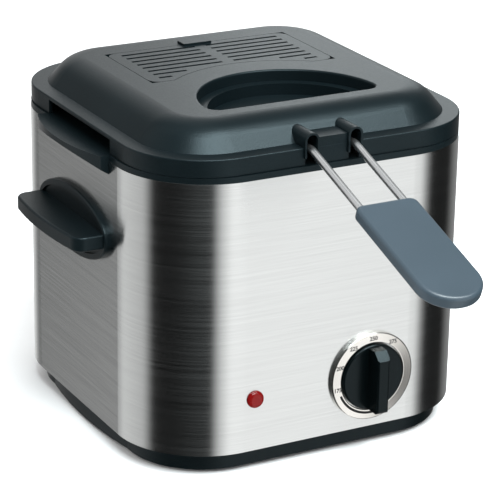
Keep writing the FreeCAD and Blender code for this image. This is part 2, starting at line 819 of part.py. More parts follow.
def make_lamp_lens():
    """Red domed lens, a stem through the shell and a rim outside it."""
    body = new_body("lamp_lens")
    sketch = new_sketch(body, "XZ_Plane", at="body_depth / 2", across="-lamp_across", along="lamp_height")
    draw_circle(sketch, "lamp_rim")
    pad(body, sketch, "lamp_dome")
    front = -value("body_depth / 2 + lamp_dome")

    def on_front(edge):
        return abs(edge.BoundBox.YMin - front) < 1e-4 and edge.BoundBox.YLength < 1e-4
    round_off(body, on_front, "lamp_dome - lamp_lip")
    sketch = new_sketch(body, "XZ_Plane", at="body_depth / 2", across="-lamp_across", along="lamp_height")
    draw_circle(sketch, "lamp_bore")
    pad(body, sketch, "shell_wall + lamp_stem", reverse=True)
    return body


def make_lamp_body():
    """Neon holder that grips the lens stem behind the shell."""
    body = new_body("lamp_body")
    back = "body_depth / 2 - shell_wall - press_gap"
    sketch = new_sketch(body, "XZ_Plane", at=back, across="-lamp_across", along="lamp_height")
    draw_circle(sketch, "lamp_bore + lamp_wall")
    pad(body, sketch, "lamp_length", reverse=True)
    sketch = new_sketch(body, "XZ_Plane", at=back, across="-lamp_across", along="lamp_height")
    draw_circle(sketch, "lamp_bore + run_gap")
    pocket(body, sketch, "lamp_stem + seat_gap")
    return body


def make_cord_gland():
    """Strain-relief bushing in the rear wall."""
    body = new_body("cord_gland")
    rear = "-1 * body_depth / 2"
    steps = ((rear, "gland_flange", "gland_lip", True),
             (rear, "gland_neck", "shell_wall + gland_inside", False),
             (f"{rear} - gland_lip", "gland_nose", "gland_tail", True))
    for at, radius, length, outward in steps:
        sketch = new_sketch(body, "XZ_Plane", at=at, across="gland_across", along="gland_height")
        draw_circle(sketch, radius)
        pad(body, sketch, length, reverse=outward)
    sketch = new_sketch(body, "XZ_Plane", at=f"{rear} - gland_lip - gland_tail - past",
                        across="gland_across", along="gland_height")
    draw_circle(sketch, "gland_bore")
    pocket(body, sketch, "shell_wall + gland_inside + gland_lip + gland_tail + 2 * past", reverse=True)
    return body


def draw_oval(sketch, inset="0"):
    """Oval of the handle's wall plate."""
    half = f"flange_half - ( {inset} )"
    rise = f"flange_rise - ( {inset} )"
    index = sketch.addGeometry(Part.Ellipse(Vector(0, 0, 0), value(half), value(rise)))
    sketch.exposeInternalGeometry(index)
    sketch.addConstraint(Sketcher.Constraint("Coincident", index, 3, -1, 1))
    sketch.addConstraint(Sketcher.Constraint("Horizontal", index + 1))
    fix(sketch, "Distance", (index + 1,), f"2 * ( {half} )")
    fix(sketch, "Distance", (index + 2,), f"2 * ( {rise} )")


def make_handle(name, side):
    """Oval wall plate with a bowed finger shelf, moulded in one piece; side is -1 on the left."""
    body = new_body(name)
    outward = side < 0
    wall = f"{side} * body_width / 2"
    face = f"{side} * ( body_width / 2 + flange_thick )"
    sketch = new_sketch(body, "YZ_Plane", at=wall, along="handle_height")
    draw_oval(sketch)
    pad(body, sketch, "flange_thick", reverse=outward)
    front = value(face)

    def on_front(edge):
        return abs(edge.BoundBox.XMin - front) < 1e-4 and edge.BoundBox.XLength < 1e-4
    round_off(body, on_front, "flange_round")
    sketch = new_sketch(body, "YZ_Plane", at=face, along="handle_height")
    draw_oval(sketch, "dish_border")
    pocket(body, sketch, "dish_depth", reverse=outward)
    sketch = new_sketch(body, at="shelf_top")
    root = f"{side} * ( body_width / 2 + past / 2 )"
    lip = f"{side} * ( body_width / 2 + shelf_reach )"
    arc = "shelf_arc" if side > 0 else "-shelf_arc"
    draw_outline(sketch, [(root, "-shelf_half"), (lip, "-shelf_half", arc), (lip, "shelf_half"),
                          (root, "shelf_half")])
    pad(body, sketch, "shelf_thick", reverse=True)
    edge_x = value(lip)

    def at_tip(edge):
        return stands_up(edge) and abs(edge.BoundBox.Center.x - edge_x) < 1e-3
    round_off(body, at_tip, "shelf_corner")
    top = value("shelf_top")
    low = value("shelf_top - shelf_thick")

    def on_rim(edge):
        box = edge.BoundBox
        flat = box.ZLength < 1e-4 and (abs(box.ZMin - top) < 1e-4 or abs(box.ZMin - low) < 1e-4)
        clear = abs(front) + value("rim_start")
        return flat and box.YLength > value("rim_start") and min(abs(box.XMin), abs(box.XMax)) > clear
    round_off(body, on_rim, "shelf_round")
    sketch = new_sketch(body, "YZ_Plane", at=wall, along="handle_height")
    for y in ("handle_screw_place", "-handle_screw_place"):
        draw_circle(sketch, "screw_radius + run_gap", y)
    pocket(body, sketch, "handle_pilot", reverse=side > 0)
    return body


def make_element():
    """Tubular heating ring under the pot, open at the rear between its cold pins."""
    body = new_body("heating_element")
    sketch = new_sketch(body, "XZ_Plane")
    draw_circle(sketch, "element_tube", "element_radius", "pot_bottom - element_tube - touch_gap")
    ring = body.newObject("PartDesign::Revolution", "Ring")
    ring.Profile = sketch
    axis = [item for item in body.Origin.OriginFeatures if item.Role == "Z_Axis"]
    ring.ReferenceAxis = (axis[0], [""])
    bind(ring, "Angle", "360 deg - 2 * asin(pin_place / element_radius)")
    doc.recompute()
    body.Placement.Rotation = Rotation(Vector(0, 0, 1), 90)
    bind(body, "Placement.Rotation.Angle", "90 deg + asin(pin_place / element_radius)")
    doc.recompute()
    return body


def make_cutout():
    """Button thermostat clamped under the middle of the pot."""
    body = new_body("thermal_cutout")
    sketch = new_sketch(body, at="pot_bottom")
    draw_circle(sketch, "cutout_radius")
    pad(body, sketch, "cutout_high", reverse=True)
    return body


def make_bulb():
    """Capillary bulb of the regulator, clipped under the pot."""
    body = new_body("sensor_bulb")
    sketch = new_sketch(body, "YZ_Plane", at="-bulb_length / 2", across="-bulb_along",
                        along="pot_bottom - bulb_radius - touch_gap")
    draw_circle(sketch, "bulb_radius")
    pad(body, sketch, "bulb_length")
    return body


# Sets of like pieces ------------------------------------------------------------------------------

def cylinder(radius, height, x, y, z, axis=Vector(0, 0, 1)):
    """Part::Cylinder that starts at a point and runs along an axis."""
    item = doc.addObject("Part::Cylinder", "Cylinder")
    bind(item, "Radius", radius)
    bind(item, "Height", height)
    item.Placement.Rotation = Rotation(Vector(0, 0, 1), axis)
    bind(item, "Placement.Base.x", x)
    bind(item, "Placement.Base.y", y)
    bind(item, "Placement.Base.z", z)
    return item


def group(name, items):
    """One node that holds several like solids."""
    node = doc.addObject("Part::Compound", name)
    node.Links = items
    bind(node, "Placement.Base.y", "centre_shift")
    return node


def screw(x, y, z, axis, length):
    """Screw whose head sits behind the point and whose shank runs on along the axis."""
    start = [f"{place} - {step} * head_thick" for place, step in zip((x, y, z), axis)]
    item = doc.addObject("Part::Fuse", "Screw")
    item.Base = cylinder("screw_head", "head_thick", *start, axis)
    item.Tool = cylinder("screw_radius", length, x, y, z, axis)
    return item


def make_feet():
    """Four rubber feet let into the tray."""
    places = four_places("foot_across", "foot_along")
    feet = [cylinder("foot_radius", "tray_bottom + foot_sink", x, y, "0") for x, y in places]
    return group("rubber_feet", feet)


def make_pins():
    """Two cold pins that hang from the element's ends."""
    start = "pot_bottom - 2 * element_tube - press_gap - pin_length"
    pins = [cylinder("pin_radius", "pin_length", x, "pin_along", start) for x in ("pin_place", "-pin_place")]
    return group("element_pins", pins)


def make_screws():
    """Screws of the base, shield, handles and baffle, one node for each kind."""
    up = Vector(0, 0, 1)
    down = Vector(0, 0, -1)
    long = "tray_shoulder + tray_upstand - tray_bottom - screw_sink + post_pilot - screw_short"
    posts = four_places("post_across", "post_along")
    base = [screw(x, y, "tray_bottom + screw_sink", up, long) for x, y in posts]
    shield = [screw(x, y, "shield_height + shield_wall", down, "pilot_depth - screw_short") for x, y in
              four_places("shield_post")]
    handle = []
    for side in (-1, 1):
        for y in ("handle_screw_place", "-handle_screw_place"):
            inside = f"{side} * (body_width / 2 - shell_wall)"
            length = "shell_wall + handle_pilot - 2 * screw_short"
            handle.append(screw(inside, y, "handle_height", Vector(side, 0, 0), length))
    length = "baffle_thick + baffle_pilot - screw_short / 2"
    baffle = [screw(x, y, f"{BAFFLE_TOP} - baffle_thick", up, length) for x, y in baffle_places()]
    return [group("base_screws", base), group("shield_screws", shield), group("handle_screws", handle),
            group("baffle_screws", baffle)]


# Lid ----------------------------------------------------------------------------------------------

SKIRT_BOTTOM = "seam_height + seat_gap"
DOME_FOOT = "lid_inset + dome_inset"
FILTER_FLOOR = "lid_top - cover_thick - filter_thick"
BAFFLE_TOP = f"{FILTER_FLOOR} - filter_floor - baffle_gap"


def baffle_places():
    """Places of the baffle's four posts and screws."""
    far = "cover_half - baffle_post_in"
    along = ("baffle_front + baffle_post_front", "cover_rear - baffle_post_rear")
    return [(x, y) for x in (far, f"-1 * ({far})") for y in along]


def dome_section(sketch, inset):
    """Section of the dome, drawn in from its foot."""
    draw_rounded(sketch, f"body_width / 2 - ({DOME_FOOT}) - ({inset})",
                 f"body_depth / 2 - ({DOME_FOOT}) - ({inset})", f"dome_corner - ({inset})")


def make_lid_shell():
    """Black moulded lid: skirt, flange, dome, finger recess, filter well, wire tunnels."""
    body = new_body("lid_shell")
    sketch = new_sketch(body, at=SKIRT_BOTTOM)
    draw_rounded(sketch, "body_width / 2 - lid_inset", "body_depth / 2 - lid_inset", "lid_corner")
    pad(body, sketch, f"lid_edge - ( {SKIRT_BOTTOM} )")
    round_off(body, lies_at(value("lid_edge")), "lid_round")
    sketch = new_sketch(body, at="lid_edge")
    dome_section(sketch, "0")
    pad(body, sketch, "lid_top - lid_edge", taper="-dome_slope")
    round_off(body, lies_at(value("lid_top")), "dome_round")
    sketch = new_sketch(body, at=SKIRT_BOTTOM)
    draw_rounded(sketch, "body_width / 2 - lid_inset - lid_wall", "body_depth / 2 - lid_inset - lid_wall",
                 "lid_corner - lid_wall")
    pocket(body, sketch, f"lid_edge - lid_wall - ( {SKIRT_BOTTOM} )", reverse=True)
    steps = (("lid_edge - lid_wall", "lid_wall + hollow_foot"), ("lid_top - hollow_shoulder", "hollow_bend"),
             ("lid_top - roof_wall", "hollow_roof"))
    sections = []
    for height, inset in steps:
        sketch = new_sketch(body, at=height)
        dome_section(sketch, inset)
        sections.append(sketch)
    loft(body, sections, cut=True)
    add_recess(body)
    add_filter_well(body)
    sketch = new_sketch(body, "YZ_Plane")
    draw_box(sketch, "-cutout_half", "seam_height - past", "cutout_half", "seam_height + cutout_rise")
    pocket(body, sketch, "body_width + 2 * past", both_ways=True)
    add_tunnels(body)
    return body


def add_recess(body):
    """Finger recess: a half-moon cup with a step part of the way down."""
    sketch = new_sketch(body, at="lid_top - recess_wall")
    draw_recess(sketch, "-recess_wall")
    pad(body, sketch, "recess_depth", reverse=True)
    sketch = new_sketch(body, at="lid_top")
    draw_recess(sketch)
    pocket(body, sketch, "recess_shelf")
    sketch = new_sketch(body, at="lid_top")
    draw_recess(sketch, "recess_step")
    pocket(body, sketch, "recess_depth")
    front = -value("recess_front")
    roof = value("lid_top")

    def at_recess_end(edge):
        box = edge.BoundBox
        return stands_up(edge) and abs(box.YMin - front) < 1e-3 and box.ZMax > roof - 1e-3
    round_off(body, at_recess_end, "recess_round")
    reach = value("recess_radius") + 1e-2
    top = lies_at(roof)

    def on_recess_rim(edge):
        box = edge.BoundBox
        return top(edge) and box.YMax < value("cover_land - recess_centre + recess_radius") \
            and max(abs(box.XMin), abs(box.XMax)) < reach
    round_off(body, on_recess_rim, "rim_round")


def add_filter_well(body):
    """Two-step well for the filter mat and its cover, with steam slots and posts for the baffle."""
    sketch = new_sketch(body, at="lid_top - roof_wall")
    draw_cover(sketch, "filter_margin - filter_floor")
    pad(body, sketch, "cover_thick + filter_thick + filter_floor - roof_wall", reverse=True)
    sketch = new_sketch(body, at="lid_top")
    draw_cover(sketch, "filter_margin")
    pocket(body, sketch, "cover_thick + filter_thick")
    sketch = new_sketch(body, at="lid_top")
    draw_cover(sketch, "-cover_gap")
    pocket(body, sketch, "cover_thick")
    sketch = new_sketch(body, at="lid_top")
    draw_box(sketch, "-1 * tab_half - cover_gap", "cover_rear - past", "tab_half + cover_gap",
             "cover_rear + tab_reach + cover_gap")
    pocket(body, sketch, "cover_thick")
    sketch = new_sketch(body, at=FILTER_FLOOR)
    for row in range(int(SIZES["vent_rows"])):
        middle = f"cover_rear - vent_first - {row} * vent_pitch"
        low = f"{middle} - vent_width / 2"
        high = f"{middle} + vent_width / 2"
        draw_box(sketch, "vent_inner", low, "vent_outer", high)
        draw_box(sketch, "-vent_outer", low, "-vent_inner", high)
    pocket(body, sketch, "filter_floor + past")
    sketch = new_sketch(body, at=BAFFLE_TOP)
    for x, y in baffle_places():
        draw_circle(sketch, "baffle_post", x, y)
    pad(body, sketch, "baffle_gap + filter_floor / 4")
    sketch = new_sketch(body, at=BAFFLE_TOP)
    for x, y in baffle_places():
        draw_circle(sketch, "screw_radius + run_gap", x, y)
    pocket(body, sketch, "baffle_pilot", reverse=True)


def add_tunnels(body):
    """Two arched tunnels for the arm's wires, joined by a bridge, open all the way down."""
    centre = "slot_crown - slot_width / 2"
    nose = "body_depth / 2 - lid_inset + tunnel_front"
    wall = "slot_width / 2 + tunnel_wall"
    for x in ("slot_place", "-slot_place"):
        sketch = new_sketch(body, "XZ_Plane", at=nose)
        draw_circle(sketch, wall, x, centre)
        pad(body, sketch, "tunnel_length", reverse=True)
        sketch = new_sketch(body, "XZ_Plane", at=nose)
        draw_box(sketch, f"{x} - ({wall})", "lid_edge - tunnel_foot", f"{x} + {wall}", centre)
        pad(body, sketch, "tunnel_length - past", reverse=True)
    sketch = new_sketch(body, "XZ_Plane", at="body_depth / 2 - lid_inset - press_gap")
    draw_box(sketch, "-slot_place", "lid_edge - lid_round", "slot_place", "slot_crown - bridge_drop")
    pad(body, sketch, "tunnel_length - bridge_short", reverse=True)
    for x in ("slot_place", "-slot_place"):
        sketch = new_sketch(body, "XZ_Plane", at=f"{nose} + past")
        draw_box(sketch, f"{x} - slot_width / 2", "seam_height - past", f"{x} + slot_width / 2", centre)
        pocket(body, sketch, "tunnel_length + 2 * past")
        sketch = new_sketch(body, "XZ_Plane", at=f"{nose} + past")
        draw_circle(sketch, "slot_width / 2", x, centre)
        pocket(body, sketch, "tunnel_length + 2 * past")


def make_filter_mat():
    """Felt mat that fills the well under the cover."""
    body = new_body("filter_mat")
    sketch = new_sketch(body, at=FILTER_FLOOR)
    draw_cover(sketch, "filter_margin + cover_gap")
    pad(body, sketch, "filter_thick - mat_gap")
    return body


def make_filter_cover():
    """Vented cover with two banks of slots, a spine between them and a tab at the rear."""
    body = new_body("filter_cover")
    sketch = new_sketch(body, at="lid_top - cover_thick")
    draw_cover(sketch)
    pad(body, sketch, "cover_thick")
    half = value("cover_half")

    def is_corner(edge):
        return stands_up(edge) and abs(abs(edge.BoundBox.XMin) - half) < 1e-3
    round_off(body, is_corner, "cover_corner")
    sketch = new_sketch(body, at="lid_top - cover_thick")
    draw_box(sketch, "-tab_half", "cover_rear - tab_reach / 2", "tab_half", "cover_rear + tab_reach")
    pad(body, sketch, "cover_thick + tab_raise")
    arc = "(recess_radius + cover_land + groove_land)"
    sketch = new_sketch(body, at="lid_top")
    for row in range(int(SIZES["groove_rows"])):
        middle = f"groove_rear - {row} * groove_pitch"
        low = f"{middle} - groove_width / 2"
        high = f"{middle} + groove_width / 2"
        start = "groove_inner"
        if value(f"{low} + recess_centre") < value(arc):
            nose = f"sqrt({arc} ^ 2 - ({low} + recess_centre) ^ 2)"
            start = nose if value(nose) > value(start) else start
        draw_box(sketch, start, low, "groove_outer", high)
        draw_box(sketch, "-groove_outer", low, f"-1 * {start}", high)
    pocket(body, sketch, "cover_thick")
    return body


def make_steam_baffle():
    """Thin aluminium plate under the filter floor."""
    body = new_body("steam_baffle")
    middle = "(cover_rear - baffle_in + baffle_front) / 2"
    half = "(cover_rear - baffle_in - baffle_front) / 2"
    sketch = new_sketch(body, at=f"{BAFFLE_TOP} - baffle_thick", along=middle)
    draw_rounded(sketch, "cover_half - 2 * baffle_in", half, "baffle_corner")
    pad(body, sketch, "baffle_thick")
    sketch = new_sketch(body, at=BAFFLE_TOP)
    for x, y in baffle_places():
        draw_circle(sketch, "screw_radius + hole_room", x, y)
    pocket(body, sketch, "baffle_thick + past")
    return body


# Basket -------------------------------------------------------------------------------------------

BASKET_INSET = "pot_inset + pot_wall + basket_gap"
BASKET_FRONT = f"body_depth / 2 - ( {BASKET_INSET} )"


def basket_outline(sketch, grow):
    """Rounded square of the basket, grown all round."""
    draw_rounded(sketch, f"body_width / 2 - ( {BASKET_INSET} ) + ( {grow} )",
                 f"body_depth / 2 - ( {BASKET_INSET} ) + ( {grow} )", f"basket_corner + ( {grow} )")


def make_basket_mesh():
    """Tub of the basket; its wall stands for the woven wire."""
    body = new_body("basket_mesh")
    sketch = new_sketch(body, at="basket_bottom")
    basket_outline(sketch, "0")
    pad(body, sketch, "basket_rim - basket_bottom")
    sketch = new_sketch(body, at="basket_rim")
    basket_outline(sketch, "-1 * basket_wall")
    pocket(body, sketch, "basket_rim - basket_bottom - basket_wall")
    round_off(body, lies_at(value("basket_bottom + basket_wall")), "basket_bend - basket_wall")
    round_off(body, lies_at(value("basket_bottom")), "basket_bend")
    return body


def make_basket_rim():
    """Round wire that stiffens the basket's mouth."""
    body = new_body("basket_rim")
    sketch = new_sketch(body, at="basket_rim - 2 * rim_wire")
    basket_outline(sketch, "press_gap + 2 * rim_wire")
    basket_outline(sketch, "press_gap")
    pad(body, sketch, "2 * rim_wire")
    round_off(body, lambda edge: not stands_up(edge), "rim_wire - run_gap")
    return body


def make_arm_bracket():
    """Plate that ties the arm wire to the basket's front."""
    body = new_body("arm_bracket")
    sketch = new_sketch(body, "XZ_Plane", at=f"{BASKET_FRONT} + press_gap")
    draw_box(sketch, "-slot_place - bracket_edge", "arm_foot + bracket_rise",
             "slot_place + bracket_edge", "arm_foot + bracket_rise + bracket_high")
    pad(body, sketch, "2 * rim_wire - press_gap")
    return body


def arm_path():
    """Corner points of the arm wire: grip, over the rim, down the basket's front, across and back."""
    x = value("slot_place")
    front = -value(f"{BASKET_FRONT} + press_gap + 2 * rim_wire + arm_wire + run_gap")
    level = value("arm_level")
    bend = -value("arm_bend")
    slope = radians(value("arm_slope"))
    run = (value("grip_start") + bend) / cos(slope) + value("grip_insert")
    end_y = bend - run * cos(slope)
    end_z = level - run * sin(slope)
    half = [(end_y, end_z), (bend, level), (front, level), (front, value("arm_foot"))]
    left = [Vector(-x, y, z) for y, z in half]
    right = [Vector(x, y, z) for y, z in reversed(half)]
    return left + right


def bent_wire(name, points, radius, bend):
    """Round wire along straight runs joined by arcs of one bend radius."""
    edges = []
    start = points[0]
    for before, corner, after in zip(points, points[1:], points[2:]):
        back = (before - corner).normalize()
        onward = (after - corner).normalize()
        half_turn = back.getAngle(onward) / 2
        cut = bend / tan(half_turn)
        first = corner + back * cut
        last = corner + onward * cut
        middle_way = (back + onward).normalize()
        middle = corner + middle_way * (bend / sin(half_turn) - bend)
        edges.append(Part.LineSegment(start, first).toShape())
        edges.append(Part.Arc(first, middle, last).toShape())
        start = last
    edges.append(Part.LineSegment(start, points[-1]).toShape())
    spine = Part.Wire(edges)
    along = (points[1] - points[0]).normalize()
    ring = Part.Wire([Part.makeCircle(radius, points[0], along)])
    node = doc.addObject("Part::Feature", name)
    node.Shape = spine.makePipeShell([ring], True, False, 2)
    node.Placement = FreeCAD.Placement()
    bind(node, "Placement.Base.y", "centre_shift")
    return node


def make_basket_arm():
    return bent_wire("basket_arm", arm_path(), value("arm_wire"), value("arm_round"))


def make_basket_grip():
    """Flat plastic grip with a round end, moulded over the wire's loop."""
    body = new_body("basket_grip")
    sketch = new_sketch(body, at="-1 * grip_thick / 2")
    draw_box(sketch, "-grip_half", "-grip_length", "grip_half", "0")
    pad(body, sketch, "grip_thick")

    def far(edge):
        return stands_up(edge) and edge.BoundBox.YMax < -1e-3

    def near(edge):
        at_side = abs(edge.BoundBox.XMin) > value("grip_half") - 1e-3
        return stands_up(edge) and edge.BoundBox.YMin > -1e-3 and at_side
    round_off(body, far, "grip_half - grip_flat")
    round_off(body, near, "grip_corner")
    round_off(body, lambda edge: not stands_up(edge), "grip_edge_round")
    sketch = new_sketch(body, "XZ_Plane")
    for x in ("slot_place", "-slot_place"):
        draw_circle(sketch, "arm_wire + run_gap", x)
    pocket(body, sketch, "grip_insert + seat_gap", reverse=True)
    body.Placement.Rotation = Rotation(Vector(1, 0, 0), value("arm_slope"))
    bind(body, "Placement.Base.y", "centre_shift - grip_start")
    bind(body, "Placement.Base.z", "arm_level - ( grip_start - arm_bend ) * tan(arm_slope * 1 deg )")
    bind(body, "Placement.Rotation.Angle", "arm_slope")
    doc.recompute()
    return body


# Build, check and write ---------------------------------------------------------------------------

def build():
    """Make every piece."""
    nodes = [make_base_tray(), make_feet(), make_outer_shell(), make_rim_collar(), make_pot(), make_element(),
             make_pins(), make_heat_shield(), make_cutout(), make_bulb(), make_thermostat_body(),
             make_thermostat_nut(), make_terminal_block(), make_lamp_lens(), make_lamp_body(),
             make_dial_ring(), make_cord_gland(), make_handle("left_handle", -1),
             make_handle("right_handle", 1), make_knob(), make_thermostat_shaft(),
             make_lid_shell(), make_filter_mat(), make_filter_cover(), make_steam_baffle(),
             make_basket_mesh(), make_basket_rim(), make_basket_arm(), make_arm_bracket(), make_basket_grip()]
    nodes += make_screws()
    doc.recompute()
    return nodes


def centre(nodes):
    """Stand the middle of the overall box over the origin."""
    boxes = [node.Shape.optimalBoundingBox(False, False) for node in nodes]
    middle = (min(box.YMin for box in boxes) + max(box.YMax for box in boxes)) / 2
    sheet.set(f"B{len(SIZES)}", str(round(-middle, 3)))
    doc.recompute()


def check(nodes):
    """Stop if any object failed or any piece isn't a sound solid."""
    for item in doc.Objects:
        if "Invalid" in item.State or "Error" in item.State:
            raise RuntimeError(f"{item.Label}: {item.State}")
    for node in nodes:
        if node.Shape.isNull() or not node.Shape.isValid() or not node.Shape.Solids:
            raise RuntimeError(f"{node.Label}: no valid solid")


def write(nodes):
    """Write each piece to its own file and print what it measures."""
    os.makedirs("parts", exist_ok=True)
    for node in nodes:
        node.Shape.exportStep(f"parts/{node.Label}.step")
        box = node.Shape.optimalBoundingBox(False, False)
        spans = ((box.XMin, box.XMax), (box.YMin, box.YMax), (box.ZMin, box.ZMax))
        reach = "  ".join(f"{low:.1f}..{high:.1f}" for low, high in spans)
        volume = node.Shape.Volume / 1000
        print(f"{node.Label:18s} {len(node.Shape.Solids)} solids  {volume:8.2f} cm3  {reach}")


pieces = build()
centre(pieces)
check(pieces)
write(pieces)
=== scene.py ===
"""Looks of a compact household deep fryer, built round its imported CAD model.

The CAD nodes keep their shapes and get finishes here. The basket's woven wire and the dial's printed
scale are modelled in this file.
"""
import json
import logging
from dataclasses import dataclass
from enum import Enum
from math import cos, pi, radians, sin, tan

import bmesh
import bpy
from mathutils import Matrix, Vector


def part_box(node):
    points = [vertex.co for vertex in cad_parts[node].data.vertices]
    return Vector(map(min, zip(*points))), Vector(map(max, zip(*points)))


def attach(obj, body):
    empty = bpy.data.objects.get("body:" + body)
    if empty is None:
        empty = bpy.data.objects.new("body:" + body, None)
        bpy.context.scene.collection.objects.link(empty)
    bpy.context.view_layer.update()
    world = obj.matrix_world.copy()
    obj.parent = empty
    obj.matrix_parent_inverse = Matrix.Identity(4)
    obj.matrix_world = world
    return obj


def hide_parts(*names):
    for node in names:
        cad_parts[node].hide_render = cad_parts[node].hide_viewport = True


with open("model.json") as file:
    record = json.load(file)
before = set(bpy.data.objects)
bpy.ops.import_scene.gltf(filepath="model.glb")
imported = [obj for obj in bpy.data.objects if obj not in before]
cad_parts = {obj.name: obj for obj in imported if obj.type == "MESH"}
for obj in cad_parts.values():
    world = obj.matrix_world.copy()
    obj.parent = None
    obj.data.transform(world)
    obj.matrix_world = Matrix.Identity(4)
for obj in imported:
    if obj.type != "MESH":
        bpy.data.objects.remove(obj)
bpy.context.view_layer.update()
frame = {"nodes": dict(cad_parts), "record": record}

LOG = logging.getLogger("deep_fryer")
MM = 0.001
COAT_ROUGHNESS = 0.12
QUARTER_TURN = 0.25
BRUSH_SQUASH = 0.012
SENSOR_WIDTH = 36.0
NEAR_CLIP = 0.05
FAR_CLIP = 50.0
FLOOR_HALF = 6.0
LIGHT_COLOUR = (0.90, 0.98, 1.0)
LIGHT_AIM_HEIGHT = 0.1

Colour = tuple[float, float, float, float]


# Colours and nodes ------------------------------------------------------------------------------

def linear(code: str) -> Colour:
    """Turn an sRGB hex colour into the linear colour that shaders use.

    Args:
        code: Six hex digits, without a hash.

    Returns:
        Red, green, blue and an alpha of one.
    """
    parts = [int(code[place:place + 2], 16) / 255 for place in (0, 2, 4)]
    red, green, blue = [part / 12.92 if part <= 0.04045 else ((part + 0.055) / 1.055) ** 2.4
                        for part in parts]
    return (red, green, blue, 1.0)


def per_mm(size: float) -> float:
    """Pattern scale at which one cycle is as long as a real size.

    Args:
        size: Length of one cycle in millimetres.

    Returns:
        Cycles per metre.
    """
    return 1.0 / (size * MM)


def add(material: bpy.types.Material | bpy.types.World, kind: str, settings: dict | None = None,
        links: dict | None = None) -> bpy.types.ShaderNode:
    """Add one shader node with its settings and the links that feed it.

    Args:
        material: Material or world that gets the node.
        kind: Blender's name for the node type.
        settings: Values for input sockets by name or number, or for properties of the node.
        links: Output sockets that feed this node's inputs, by input name or number.

    Returns:
        The new node.
    """
    node = material.node_tree.nodes.new(kind)
    for name, setting in (settings or {}).items():
        if isinstance(name, str) and hasattr(node, name):
            setattr(node, name, setting)
        else:
            node.inputs[name].default_value = setting
    for name, source in (links or {}).items():
        material.node_tree.links.new(source, node.inputs[name])
    return node


class Grain(Enum):
    """Surface patterns that a finish can carry."""

    SPARK = "spark-eroded plastic grain"
    BRUSH = "lines of a brushing belt"
    PLATED = "bright plating"
    ROLLED = "rolled sheet"
    TURNED = "rings of a lathe tool"
    PLAIN = "plain"


